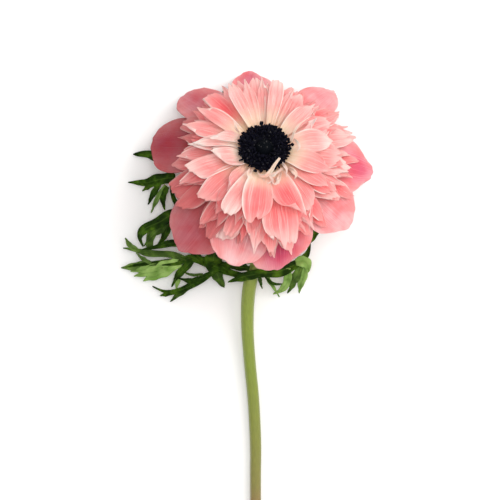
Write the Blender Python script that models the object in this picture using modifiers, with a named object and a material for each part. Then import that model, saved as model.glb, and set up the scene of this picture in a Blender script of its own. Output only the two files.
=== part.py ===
"""A double garden anemone, cut and laid on its back on a flat surface, at its real size.

The stem lies along Y with its cut end towards -Y. The neck bends up and carries the head face up.
The head rests on its uppermost outer tepal, the stem on its cut end, and the leaves on their tips.
Lengths below are in millimetres and turn into metres where an object is made.
"""

import math

import bmesh
import bpy
from mathutils import Matrix, Vector

MM = 0.001
GAP = 0.3  # clearance between neighbouring pieces

# The head's own frame: X across, Y in the plane of the head, Z along its axis, out of its face.
HEAD_CENTRE = Vector((5.6, 37.7, 31.6))
HEAD_TILT = math.radians(26)  # of the head's axis from straight up, towards the far end of the table

# The receptacle, the knob that carries every petal: (radius, height along the head's axis)
RECEPTACLE = ((0, 5.6), (4.0, 5.6), (4.5, 5.2), (4.9, 3.0), (5.0, -4.0), (4.4, -5.2), (2.2, -7.0), (0, -7.0))
RECEPTACLE_RADIUS = 5.0

# The stem's centreline, from the cut end to the underside of the receptacle, and its radii.
STEM_LINE = (
    (2.6, -108.0, 2.3), (2.6, -94.0, 2.3), (2.6, -80.0, 2.4), (1.7, -62.0, 3.0), (0.2, -47.0, 4.0),
    (-0.6, -33.0, 5.6), (-0.6, -21.0, 7.4), (0.4, -12.0, 8.8), (3.4, -3.0, 9.8), (5.0, 9.0, 10.6),
    (5.6, 20.0, 12.4), (5.6, 28.5, 16.6), (5.6, 33.2, 22.2), (5.6, 35.2, 26.4),
)
STEM_RADII = (2.25, 2.25, 2.35, 2.4, 2.4, 2.55, 2.75, 2.8, 2.3, 2.2, 2.25, 2.4, 2.6, 2.7)
STEM_POINTS = 46

# The pistil head, a low dome on the receptacle.
PISTIL = ((0, 11.4), (1.6, 11.1), (3.0, 9.9), (3.7, 8.2), (3.5, 6.7), (2.6, 5.9), (0, 5.9))

# The stamens: rings of (count, distance of the anthers from the axis, their height).
STAMEN_RINGS = ((20, 9.5, 7.9), (15, 7.7, 9.2), (10, 5.9, 10.0))
STAMEN_COLLAR = ((4.95, 5.75), (5.75, 5.75), (5.75, 4.95), (4.95, 4.95))
STAMEN_FOOT = (5.35, 5.35)
ANTHER_LEAN, PISTIL_LEAN = 0.8, 1.4  # how far they stand off the axis, towards the stem
FILAMENT_RADIUS = 0.22
ANTHER_RADIUS = 0.62

# Petals lie on nested bells around the head's axis, so no two whorls cross. Each whorl states the
# height of its claws, its slope there, its slope BELL_RUN further out (degrees), and its petals,
# each as (bearing in degrees from +X, reach of its tip from the axis, greatest width).
BELL_RUN = 40.0
CLAW_DISTANCE = RECEPTACLE_RADIUS + GAP + 0.1
PETAL_THICKNESS = 0.4
LEAST_TIP = 0.5
OUTER_WHORLS = {
    "outer_tepal_back": (-3.6, 8, -32, (
        (162, 46, 27), (-133, 47.5, 27), (-80, 44, 24), (-38, 42.5, 23), (97, 45.5, 24))),
    "outer_tepal_front": (-2.4, 11, -31, (
        (136, 45, 25), (54, 42.5, 23), (-3, 43, 24), (-106, 45, 24))),
}
INNER_WHORLS = {
    "inner_petal_a": (-1.2, 14, -32, (
        (-152, 39.5, 10), (-131, 40.5, 9), (-113, 40, 9), (-94, 42.5, 9), (-75, 41, 9), (-30, 35, 10),
        (2, 34.5, 10), (36, 37, 11), (72, 38, 11), (105, 38.5, 11), (150, 37, 11), (180, 35.5, 10))),
    "inner_petal_b": (0.2, 18, -31, (
        (-151, 37, 10), (-124, 34.5, 9), (-95, 36, 9), (-63, 37.5, 10), (-36, 34, 10), (-12, 34, 10),
        (13, 36, 10), (44, 31, 10), (87, 33.5, 9), (112, 34.5, 9), (146, 35, 9), (176, 31, 9))),
    "inner_petal_c": (1.7, 23, -29, (
        (-163, 31.5, 9), (-139, 33.5, 9), (-105, 32, 9), (-79, 38, 10), (-50, 31.5, 9), (-6, 31, 10),
        (27, 30, 10), (58, 29.5, 9), (97, 33.5, 9), (131, 34, 9), (161, 34, 9))),
    "inner_petal_d": (3.2, 28, -24, (
        (-167, 20.5, 9), (-118, 32.5, 8), (-92, 30, 9), (-64, 34.5, 9), (-22, 30, 10),
        (8, 28.5, 10), (42, 27, 9), (77, 30, 8), (117, 31.5, 8), (146, 33, 8))),
}
TEPAL_GRID = (6, 7)  # faces across and along
PETAL_GRID = (4, 5)
TEPAL_OUTLINE = (0.62, 0.45)  # where the blade is widest, and how blunt its tip is (0 is square)
PETAL_OUTLINE = (0.60, 0.85)
TEPAL_CUP, PETAL_CUP = 0.45, 0.35  # how far the edges stand above the midline

# The three leaves of the ruff below the head. Each lobe is (width, points), root first.
LEAF_THICKNESS = 0.6
LEAVES = {
    "leaf_left": (
        (3.0, ((-2.7, -10.9, 8.6), (-8.0, -9.3, 8.7), (-13.0, -7.4, 8.4), (-18.0, -5.0, 7.8), (-24.0, -3.4, 6.8),
               (-30.0, -4.8, 5.7), (-38.0, -5.4, 4.2), (-46.5, -6.2, 2.6), (-53.0, -7.4, 0.8))),
        (5.4, ((-29.6, -4.9, 5.7), (-36.0, -7.6, 4.4), (-41.5, -10.2, 2.8), (-45.4, -12.0, 1.6))),
        (2.8, ((-36.4, -6.8, 4.5), (-42.0, -8.2, 3.2), (-48.6, -9.3, 1.8))),
        (2.8, ((-26.0, -3.6, 6.4), (-33.0, -1.8, 5.9), (-41.5, -1.4, 4.8), (-47.4, 0.0, 4.0), (-52.4, 0.8, 3.2))),
        (2.2, ((-46.6, -0.2, 4.1), (-49.6, 2.0, 3.8), (-51.6, 5.0, 3.2))),
        (1.6, ((-40.8, -5.5, 3.8), (-44.2, -3.6, 4.0), (-47.0, -1.2, 4.0))),
        (3.0, ((-18.6, -4.9, 7.7), (-25.0, 1.6, 8.0), (-31.4, 4.0, 7.8), (-39.0, 2.2, 6.8), (-44.4, 0.6, 5.4))),
        (3.0, ((-23.0, -3.6, 6.9), (-26.8, -7.4, 6.0), (-30.0, -10.8, 4.6), (-32.4, -15.2, 2.8))),
        (2.8, ((-12.4, -7.8, 8.4), (-16.6, -10.0, 7.6), (-21.0, -12.6, 6.2), (-26.4, -15.6, 4.6),
               (-31.6, -17.4, 3.2), (-36.2, -17.0, 2.2), (-40.4, -15.0, 1.6))),
        (1.9, ((-32.2, -17.4, 3.1), (-34.8, -18.3, 2.2), (-37.2, -18.9, 1.4))),
        (2.5, ((-24.6, -14.8, 5.0), (-29.0, -17.8, 3.0), (-33.0, -21.4, 0.8))),
        (2.6, ((-18.6, -11.2, 6.9), (-23.8, -12.8, 5.8), (-29.6, -11.6, 4.4))),
        (6.4, ((-14.4, -1.4, 9.0), (-15.2, -5.6, 8.5), (-15.4, -10.4, 7.6))),
        (2.8, ((-14.4, -7.2, 8.3), (-13.8, -10.8, 7.2), (-11.8, -14.4, 5.2))),
    ),
    "leaf_back": (
        (2.8, ((-1.7, -7.6, 8.6), (-6.0, -2.0, 7.8), (-16.0, 8.0, 8.0), (-26.0, 14.4, 8.4), (-32.0, 20.6, 8.4),
               (-34.6, 28.0, 7.6), (-35.6, 33.0, 6.6))),
        (4.2, ((-35.0, 30.6, 7.2), (-38.2, 36.6, 5.4), (-42.6, 38.9, 3.2), (-48.4, 39.4, 0.8))),
        (4.4, ((-25.0, 14.0, 8.4), (-31.0, 14.9, 8.8), (-37.0, 11.5, 8.8), (-42.8, 8.5, 7.8), (-45.5, 5.2, 6.6),
               (-45.2, 1.2, 5.4))),
        (3.0, ((-31.4, 15.2, 8.8), (-36.0, 9.4, 7.6), (-40.2, 6.2, 7.0), (-43.6, 1.6, 6.6))),
        (4.6, ((-31.6, 29.8, 7.8), (-36.0, 29.2, 7.4), (-42.6, 27.8, 5.6), (-50.4, 28.0, 2.8))),
        (1.9, ((-39.8, 27.6, 6.4), (-42.2, 25.8, 5.6), (-44.4, 24.4, 4.8))),
        (2.2, ((-36.8, 28.0, 7.2), (-40.0, 22.8, 6.0), (-42.0, 18.8, 4.6))),
        (2.0, ((-34.4, 26.6, 7.8), (-37.2, 21.0, 6.6), (-40.0, 15.4, 4.6))),
        (2.4, ((-33.6, 25.0, 8.0), (-34.8, 21.0, 7.2), (-33.6, 16.4, 6.4))),
        (2.8, ((-6.4, -1.6, 7.8), (-8.4, 12.0, 4.6), (-9.2, 30.0, 2.4), (-9.6, 48.0, 1.2), (-11.2, 66.0, 0.6))),
        (2.0, ((-8.8, 26.0, 2.8), (-14.0, 36.0, 2.0), (-19.0, 44.0, 1.2))),
    ),
    "leaf_right": (
        (4.4, ((0.8, -10.0, 12.6), (5.7, -9.4, 12.8), (11.0, -8.9, 12.2), (16.2, -7.0, 11.4), (20.8, -4.4, 10.8),
               (23.8, -0.6, 10.6), (24.8, 6.0, 10.6))),
        (3.6, ((3.6, -9.6, 12.7), (-0.6, -10.4, 12.6), (-4.8, -11.6, 12.0), (-9.0, -13.2, 10.6))),
        (1.8, ((4.0, -10.4, 13.0), (4.2, -12.8, 11.4), (4.8, -15.4, 9.6))),
        (3.0, ((9.0, -9.6, 12.5), (9.4, -13.0, 8.8), (10.4, -16.0, 4.4), (12.0, -19.6, 0.8))),
        (3.0, ((14.8, -8.0, 11.6), (15.0, -12.0, 8.6), (13.8, -15.4, 5.6), (12.6, -18.2, 3.4))),
        (3.4, ((17.6, -6.8, 11.2), (18.0, -11.6, 8.4), (16.8, -15.4, 5.6), (15.6, -18.0, 3.6))),
        (3.0, ((19.8, -5.8, 10.9), (20.6, -10.0, 7.8), (20.8, -14.0, 4.0), (20.8, -18.0, 0.9))),
        (3.0, ((21.6, -3.8, 10.8), (23.9, -6.6, 9.6), (23.0, -10.8, 8.0), (22.0, -14.2, 6.4))),
        (2.6, ((24.4, 3.4, 10.6), (28.8, 10.4, 6.0), (33.0, 17.4, 0.7))),
    ),
}
LEAF_STEPS = 3  # faces between two points of a lobe


# ---------------------------------------------------------------- materials and small helpers

def material(name, colour, roughness):
    """A plain Principled material."""
    made = bpy.data.materials.new(name)
    made.use_nodes = True
    shader = made.node_tree.nodes["Principled BSDF"]
    shader.inputs["Base Color"].default_value = (*colour, 1)
    shader.inputs["Roughness"].default_value = roughness
    shader.inputs["Metallic"].default_value = 0
    return made


def clear_scene():
    for old in list(bpy.data.objects):
        bpy.data.objects.remove(old, do_unlink=True)


def add_object(name, data, collection, paint):
    """An object of this mesh or curve, in this collection, with this material."""
    made = bpy.data.objects.new(name, data)
    collection.objects.link(made)
    data.materials.append(paint)
    return made


def as_mesh(obj):
    """Replaces an object by the mesh that it evaluates to, with loose caps welded."""
    bpy.context.view_layer.update()
    graph = bpy.context.evaluated_depsgraph_get()
    mesh = bpy.data.meshes.new_from_object(obj.evaluated_get(graph))
    bm = bmesh.new()
    bm.from_mesh(mesh)
    bmesh.ops.remove_doubles(bm, verts=bm.verts, dist=1e-6)
    bmesh.ops.recalc_face_normals(bm, faces=bm.faces)
    bm.to_mesh(mesh)
    bm.free()
    name, world, home = obj.name, obj.matrix_world.copy(), obj.users_collection[0]
    bpy.data.objects.remove(obj)
    made = bpy.data.objects.new(name, mesh)
    made.matrix_world = world
    home.objects.link(made)
    return made


def joined(target, others):
    """The Boolean union of a mesh object with others, which are removed."""
    for other in others:
        union = target.modifiers.new("union", "BOOLEAN")
        union.operation = "UNION"
        union.object = other
        target = as_mesh(target)
        bpy.data.objects.remove(other)
    return target


def smooth_line(points, count):
    """count points spread evenly in parameter along a Catmull-Rom curve through these points."""
    knots = [Vector(p) for p in points]
    knots = [2 * knots[0] - knots[1], *knots, 2 * knots[-1] - knots[-2]]
    spans = len(knots) - 3
    line = []
    for i in range(count):
        place = i * spans / (count - 1)
        k = min(int(place), spans - 1)
        t = place - k
        a, b, c, d = knots[k:k + 4]
        line.append(0.5 * (2 * b + (c - a) * t + (2 * a - 5 * b + 4 * c - d) * t ** 2
                           + (3 * b - a - 3 * c + d) * t ** 3))
    return line


def turned(name, profile, steps, collection, paint):
    """A solid of revolution about Z from (radius, height) pairs that run from the top down."""
    bm = bmesh.new()
    corners = [bm.verts.new((radius * MM, 0, height * MM)) for radius, height in profile]
    for a, b in zip(corners, corners[1:]):
        bm.edges.new((a, b))
    mesh = bpy.data.meshes.new(name)
    bm.to_mesh(mesh)
    bm.free()
    obj = add_object(name, mesh, collection, paint)
    screw = obj.modifiers.new("turn", "SCREW")
    screw.steps = screw.render_steps = steps
    screw.use_merge_vertices = True
    screw.merge_threshold = 1e-5
    return obj


def tube(name, line, radii, sides_level, collection, paint):
    """A round tube along a line, with its own radius at each point and filled ends."""
    curve = bpy.data.curves.new(name, "CURVE")
    curve.dimensions = "3D"
    curve.bevel_depth = MM
    curve.bevel_resolution = sides_level
    curve.use_fill_caps = True
    spline = curve.splines.new("POLY")
    spline.points.add(len(line) - 1)
    for point, place, radius in zip(spline.points, line, radii):
        point.co = (*(Vector(place) * MM), 1)
        point.radius = radius
    return add_object(name, curve, collection, paint)


# ---------------------------------------------------------------- the head's frame

def head_matrix():
    """Carries the head's own frame to where the head is held."""
    return Matrix.Translation(HEAD_CENTRE * MM) @ Matrix.Rotation(-HEAD_TILT, 4, "X")


# ---------------------------------------------------------------- stem

def make_stem(collection, paint):
    """The stem, the neck and the receptacle, which grew as one piece."""
    line = smooth_line(STEM_LINE, STEM_POINTS)
    radii = [p.x for p in smooth_line([(r, 0, 0) for r in STEM_RADII], STEM_POINTS)]
    stem = as_mesh(tube("stem", line, radii, 2, collection, paint))
    knob = turned("receptacle", RECEPTACLE, 20, collection, paint)
    knob.matrix_world = head_matrix()
    return joined(stem, [as_mesh(knob)])


# ---------------------------------------------------------------- pistil and stamens

def make_pistil(collection, paint):
    pistil = turned("pistil_head", PISTIL, 18, collection, paint)
    pistil.matrix_world = head_matrix() @ Matrix.Translation((0, -PISTIL_LEAN * MM, 0))
    return pistil


def stamen(name, bearing, distance, height, collection, paint):
    """One filament with its anther: a thin tube that swells at its far end."""
    out = Vector((math.cos(bearing), math.sin(bearing), 0))
    foot = out * STAMEN_FOOT[0] + Vector((0, 0, STAMEN_FOOT[1]))
    top = out * distance + Vector((0, -ANTHER_LEAN, height))
    along = (top - foot).normalized()
    line = (foot, top - along * 1.3, top - along * 0.7, top + along * 0.3, top + along * 0.8)
    radii = (FILAMENT_RADIUS, FILAMENT_RADIUS, ANTHER_RADIUS, ANTHER_RADIUS, FILAMENT_RADIUS)
    return as_mesh(tube(name, line, radii, 0, collection, paint))


def make_stamens(collection, paint):
    """All the stamens on the collar that they grow from, as one crown."""
    crown = as_mesh(turned("stamens", (*STAMEN_COLLAR, STAMEN_COLLAR[0]), 24, collection, paint))
    others = []
    for ring, (count, distance, height) in enumerate(STAMEN_RINGS):
        for i in range(count):
            bearing = math.tau * (i + ring / 3) / count
            others.append(stamen(f"stamen_{ring}_{i}", bearing, distance, height, collection, paint))
    crown = joined(crown, others)
    crown.matrix_world = head_matrix()
    return crown


# ---------------------------------------------------------------- petals

def bell(whorl, run):
    """(distance from the axis, height, slope) on a whorl's bell, this far along it from the claw."""
    height, rise, fall = whorl[:3]
    first = math.radians(rise)
    bend = math.radians(fall - rise) / BELL_RUN
    slope = first + bend * run
    distance = CLAW_DISTANCE + (math.sin(slope) - math.sin(first)) / bend
    return distance, height - (math.cos(slope) - math.cos(first)) / bend, slope


def run_to(whorl, reach):
    """How far along its bell a petal runs for its tip to reach this far from the axis."""
    short, long = 0.0, 2 * BELL_RUN
    for _ in range(40):
        middle = (short + long) / 2
        if bell(whorl, middle)[0] < reach and bell(whorl, middle)[2] > -math.pi / 2:
            short = middle
        else:
            long = middle
    return short


def blade_width(share, outline, width):
    """Half the width of a blade at a share of its length: narrow claw, broad blade, tapered tip."""
    widest, blunt = outline
    rise = blunt * widest / (1 - widest)
    full = (share / widest) ** rise * ((1 - share) / (1 - widest)) ** blunt
    claw = 0.3 * (1 - share) ** 2
    return max(width / 2 * max(full, claw), LEAST_TIP)


def free_bearing(petals):
    """Half the angle that each petal of a whorl may take without meeting its neighbours."""
    bearings = sorted(p[0] % 360 for p in petals)
    gaps = [b - a for a, b in zip(bearings, bearings[1:] + [bearings[0] + 360])]
    return math.radians(min(gaps) / 2) * 0.93


def make_petal(name, whorl, petal, style, collection, paint):
    """One petal: a grid bent onto its whorl's bell, cupped across, and thickened."""
    (across, along), outline, cup = style
    bearing, reach, width = petal
    room = free_bearing(whorl[3])
    length = run_to(whorl, reach)
    bm = bmesh.new()
    bmesh.ops.create_grid(bm, x_segments=across, y_segments=along, size=1)
    for vertex in bm.verts:
        side, share = vertex.co.x, math.sin((vertex.co.y + 1) * math.pi / 4)
        distance, height, slope = bell(whorl, length * share)
        half = min(blade_width(share, outline, width) / distance, room)
        turn = math.radians(bearing) + side * half
        lift = cup * side ** 2 * math.sin(math.pi * share)
        distance -= lift * math.sin(slope)
        height += lift * math.cos(slope)
        vertex.co = Vector((distance * math.cos(turn), distance * math.sin(turn), height)) * MM
    bmesh.ops.reverse_faces(bm, faces=bm.faces)
    mesh = bpy.data.meshes.new(name)
    bm.to_mesh(mesh)
    bm.free()
    mesh.shade_smooth()
    obj = add_object(name, mesh, collection, paint)
    obj.matrix_world = head_matrix()
    thicken = obj.modifiers.new("thickness", "SOLIDIFY")
    thicken.thickness = PETAL_THICKNESS * MM
    thicken.offset = 0
    return obj


def make_petals(collection, tepal_paint, petal_paint):
    tepal_style = (TEPAL_GRID, TEPAL_OUTLINE, TEPAL_CUP)
    petal_style = (PETAL_GRID, PETAL_OUTLINE, PETAL_CUP)
    made = []
    for whorls, style, paint in ((OUTER_WHORLS, tepal_style, tepal_paint),
                                 (INNER_WHORLS, petal_style, petal_paint)):
        for kind, whorl in whorls.items():
            for number, petal in enumerate(whorl[3], 1):
                made.append(make_petal(f"{kind}_{number}", whorl, petal, style, collection, paint))
    return made


# ---------------------------------------------------------------- leaves

def make_lobe(name, width, points, thickness, collection, paint):
    """One lobe of a leaf: a ribbon along its points, widest past the middle, pointed, thickened."""
    steps = LEAF_STEPS * (len(points) - 1)
    line = smooth_line(points, steps + 1)
    bm = bmesh.new()
    bmesh.ops.create_grid(bm, x_segments=2, y_segments=steps, size=1)
    for vertex in bm.verts:
        side, share = vertex.co.x, (vertex.co.y + 1) / 2
        i = round(share * steps)
        ahead = line[min(i + 1, steps)] - line[max(i - 1, 0)]
        across = ahead.cross(Vector((0, 0, 1))).normalized()
        half = width / 2 * (0.75 + 0.25 * math.sin(math.pi * share)) * min(1, 2.4 * (1 - share) + 0.12)
        vertex.co = (line[i] + across * side * half) * MM
    bmesh.ops.recalc_face_normals(bm, faces=bm.faces)
    mesh = bpy.data.meshes.new(name)
    bm.to_mesh(mesh)
    bm.free()
    obj = add_object(name, mesh, collection, paint)
    thicken = obj.modifiers.new("thickness", "SOLIDIFY")
    thicken.thickness = thickness * MM
    thicken.offset = 0
    return as_mesh(obj)


def make_leaf(name, lobes, collection, paint):
    """A cut leaf: side lobes a little thinner than the lobe that they leave, joined to it."""
    parts = []
    for i, (width, points) in enumerate(lobes):
        thickness = LEAF_THICKNESS - 0.012 * i
        parts.append(make_lobe(f"{name}_{i}", width, points, thickness, collection, paint))
    leaf = joined(parts[0], parts[1:])
    leaf.name = name
    return leaf


# ---------------------------------------------------------------- the whole flower

def stand_on_origin(pieces):
    """Hangs every piece on one empty, placed so that the origin is under the middle of their box."""
    bpy.context.view_layer.update()
    graph = bpy.context.evaluated_depsgraph_get()
    corners = [piece.matrix_world @ vertex.co
               for piece in pieces
               for vertex in piece.evaluated_get(graph).data.vertices]
    low = Vector([min(c[k] for c in corners) for k in range(3)])
    high = Vector([max(c[k] for c in corners) for k in range(3)])
    holder = bpy.data.objects.new("flower", None)
    bpy.context.scene.collection.objects.link(holder)
    for piece in pieces:
        piece.parent = holder
    holder.location = (-(low.x + high.x) / 2, -(low.y + high.y) / 2, -low.z)


def main():
    clear_scene()
    collection = bpy.data.collections.new("anemone")
    bpy.context.scene.collection.children.link(collection)
    green = material("stem_green", (0.27, 0.33, 0.07), 0.5)
    leaf_green = material("leaf_green", (0.05, 0.14, 0.02), 0.5)
    rose = material("tepal_rose", (0.75, 0.22, 0.26), 0.55)
    pink = material("petal_pink", (0.90, 0.42, 0.38), 0.55)
    black = material("heart_black", (0.01, 0.01, 0.02), 0.6)
    pieces = [make_stem(collection, green), make_pistil(collection, black), make_stamens(collection, black)]
    pieces += make_petals(collection, rose, pink)
    pieces += [make_leaf(name, lobes, collection, leaf_green) for name, lobes in LEAVES.items()]
    stand_on_origin(pieces)


main()
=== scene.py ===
"""The looks of the double anemone: petals, heart, leaves and stem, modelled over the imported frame.

Lengths are millimetres in the flower's own frame, the one that its solids were laid out in, and are
turned into metres in the row frame where a mesh is made.
"""

import math
import random
from dataclasses import dataclass

import bmesh
import bpy
import numpy as np
from mathutils import Matrix, Quaternion, Vector


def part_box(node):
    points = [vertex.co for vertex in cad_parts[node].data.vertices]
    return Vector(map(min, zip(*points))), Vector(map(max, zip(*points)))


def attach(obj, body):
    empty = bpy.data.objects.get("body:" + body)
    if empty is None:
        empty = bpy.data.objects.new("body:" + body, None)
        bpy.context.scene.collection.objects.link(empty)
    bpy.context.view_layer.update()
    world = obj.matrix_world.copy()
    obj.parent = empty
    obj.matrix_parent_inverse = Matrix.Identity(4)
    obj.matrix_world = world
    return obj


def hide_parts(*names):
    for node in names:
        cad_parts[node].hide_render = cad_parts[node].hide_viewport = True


MM = 0.001
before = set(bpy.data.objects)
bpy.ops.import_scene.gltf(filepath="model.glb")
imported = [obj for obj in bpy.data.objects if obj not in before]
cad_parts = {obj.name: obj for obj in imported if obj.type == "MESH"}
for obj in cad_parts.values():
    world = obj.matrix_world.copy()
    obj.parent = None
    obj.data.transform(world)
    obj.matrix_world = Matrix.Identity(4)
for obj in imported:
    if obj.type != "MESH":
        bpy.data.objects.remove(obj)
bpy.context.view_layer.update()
luck = random.Random(11)

# ------------------------------ where the flower lies

HEAD_TILT = math.radians(26)  # of the head's axis from straight up, towards the far end
HEAD_CENTRE = Vector((5.6, 37.7, 31.6))
CUT_END_Y = -108.0
RECEPTACLE_RIM = (4.0, 5.6)  # radius and height of its upper edge
stem_low, stem_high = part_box("stem")
pistil_low, pistil_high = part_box("pistil_head")
rim_rise = RECEPTACLE_RIM[0] * math.sin(HEAD_TILT) + RECEPTACLE_RIM[1] * math.cos(HEAD_TILT)
# The flower's frame is the row frame moved by this much, in millimetres.
SHIFT = Vector((
    (pistil_low.x + pistil_high.x) / 2 / MM - HEAD_CENTRE.x,
    stem_low.y / MM - CUT_END_Y,
    stem_high.z / MM - rim_rise - HEAD_CENTRE.z,
))
TO_ROW = Matrix.Scale(MM, 4) @ Matrix.Translation(SHIFT)
HEAD_TURN = Matrix.Rotation(-HEAD_TILT, 3, "X")
HEAD_PLACE = Matrix.Translation(HEAD_CENTRE) @ HEAD_TURN.to_4x4()
HEAD_TO_ROW = TO_ROW @ HEAD_PLACE
SURFACE_GAP = 0.3  # between the surface and the middle of a petal that lies on it


# ------------------------------ small helpers

def colour(red, green, blue):
    """Linear RGBA from 0 to 255 values as a screen shows them."""
    def linear(v):
        v /= 255
        return v / 12.92 if v <= 0.04045 else ((v + 0.055) / 1.055) ** 2.4
    return (linear(red), linear(green), linear(blue), 1.0)


def add_piece(name, mesh, paint, node=None, thickness=0.0):
    """A smooth object of this mesh that rides on the root, and stands for the node if it has one."""
    mesh.shade_smooth()
    obj = bpy.data.objects.new(name, mesh)
    bpy.context.scene.collection.objects.link(obj)
    mesh.materials.append(paint)
    if thickness:
        solid = obj.modifiers.new("thickness", "SOLIDIFY")
        solid.thickness = thickness * MM
        solid.offset = 0
    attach(obj, "root")
    if node:
        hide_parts(node)


def mesh_piece(name, points, faces, paint, attributes, node=None, thickness=0.0):
    """A piece from points in millimetres in the flower's frame, with a value of each attribute for each."""
    mesh = bpy.data.meshes.new(name)
    mesh.from_pydata([tuple(TO_ROW @ Vector(p)) for p in points], [], faces)
    for key, values in attributes.items():
        layer = mesh.attributes.new(key, "FLOAT", "POINT")
        layer.data.foreach_set("value", np.asarray(values, np.float32))
    add_piece(name, mesh, paint, node, thickness)


def bmesh_piece(name, bm, paint, node):
    """A piece from a bmesh in millimetres in the head's frame, which is used up."""
    bm.transform(HEAD_TO_ROW)
    mesh = bpy.data.meshes.new(name)
    bm.to_mesh(mesh)
    bm.free()
    add_piece(name, mesh, paint, node)


def grid_faces(columns, rows):
    """The quads of a grid of (rows + 1) by (columns + 1) points, listed row by row."""
    wide = columns + 1
    return [(r * wide + c, r * wide + c + 1, (r + 1) * wide + c + 1, (r + 1) * wide + c)
            for r in range(rows) for c in range(columns)]


def smooth_line(points, count):
    """count points spread evenly in parameter along a Catmull-Rom curve through these points."""
    knots = [Vector(p) for p in points]
    knots = [2 * knots[0] - knots[1], *knots, 2 * knots[-1] - knots[-2]]
    spans = len(knots) - 3
    line = []
    for i in range(count):
        place = i * spans / (count - 1)
        k = min(int(place), spans - 1)
        t = place - k
        a, b, c, d = knots[k:k + 4]
        line.append(0.5 * (2 * b + (c - a) * t + (2 * a - 5 * b + 4 * c - d) * t ** 2
                           + (3 * b - a - 3 * c + d) * t ** 3))
    return line


# ------------------------------ materials

class Paint:
    """A Principled material under construction."""

    def __init__(self, name, **values):
        self.material = bpy.data.materials.new(name)
        self.material.use_nodes = True
        self.tree = self.material.node_tree
        self.shader = self.tree.nodes["Principled BSDF"]
        for key, value in values.items():
            self.shader.inputs[key.replace("_", " ")].default_value = value

    def node(self, kind, inputs, output=0, **settings):
        """Adds a node, sets or links its inputs, and returns one of its outputs."""
        made = self.tree.nodes.new("ShaderNode" + kind)
        for key, value in settings.items():
            setattr(made, key, value)
        for key, value in inputs.items():
            if isinstance(value, bpy.types.NodeSocket):
                self.tree.links.new(value, made.inputs[key])
            else:
                made.inputs[key].default_value = value
        return made.outputs[output]

    def attribute(self, name):
        return self.node("Attribute", {}, "Fac", attribute_name=name)

    def maths(self, operation, a, b=0.0, c=0.0, clamp=False):
        return self.node("Math", {0: a, 1: b, 2: c}, operation=operation, use_clamp=clamp)

    def step(self, value, low, high):
        """0 at low and 1 at high, whichever is the greater, smooth between."""
        return self.node("MapRange", {0: value, 1: low, 2: high}, interpolation_type="SMOOTHSTEP")

    def ramp(self, factor, stops):
        """A colour ramp from (position, colour) stops."""
        made = self.tree.nodes.new("ShaderNodeValToRGB")
        self.tree.links.new(factor, made.inputs[0])
        marks = made.color_ramp.elements
        while len(marks) < len(stops):
            marks.new(0.5)
        for mark, (place, shade) in zip(marks, stops):
            mark.position = place
            mark.color = shade
        return made.outputs[0]

    def mix(self, factor, a, b, blend_type="MIX"):
        made = self.tree.nodes.new("ShaderNodeMix")
        made.data_type = "RGBA"
        made.blend_type = blend_type
        for socket, value in ((made.inputs[0], factor), (made.inputs[6], a), (made.inputs[7], b)):
            if isinstance(value, bpy.types.NodeSocket):
                self.tree.links.new(value, socket)
            else:
                socket.default_value = value
        return made.outputs[2]

    def noise(self, scale, detail=3.0, vector=None, roughness=0.5):
        inputs = {"Scale": scale, "Detail": detail, "Roughness": roughness}
        if vector is None:
            vector = self.node("TexCoord", {}, "Object")
        inputs["Vector"] = vector
        return self.node("TexNoise", inputs, "Fac")

    def vector(self, x, y, z):
        return self.node("CombineXYZ", {0: x, 1: y, 2: z})

    def bump(self, height, distance, strength=1.0):
        normal = self.node("Bump", {"Height": height, "Distance": distance, "Strength": strength})
        self.tree.links.new(normal, self.shader.inputs["Normal"])

    def connect(self, socket, key):
        self.tree.links.new(socket, self.shader.inputs[key])


def petal_streaks(paint, lines):
    """Fine lines that run along a petal and fan out with it, different on each petal."""
    across, along, luck_of = (paint.attribute(key) for key in ("across", "along", "luck"))
    offset = paint.maths("MULTIPLY", luck_of, 37.0)
    fan = paint.maths("MULTIPLY", across, lines)
    return paint.noise(1.0, 4.0, paint.vector(fan, paint.maths("MULTIPLY", along, 2.2), offset), 0.6)


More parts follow.
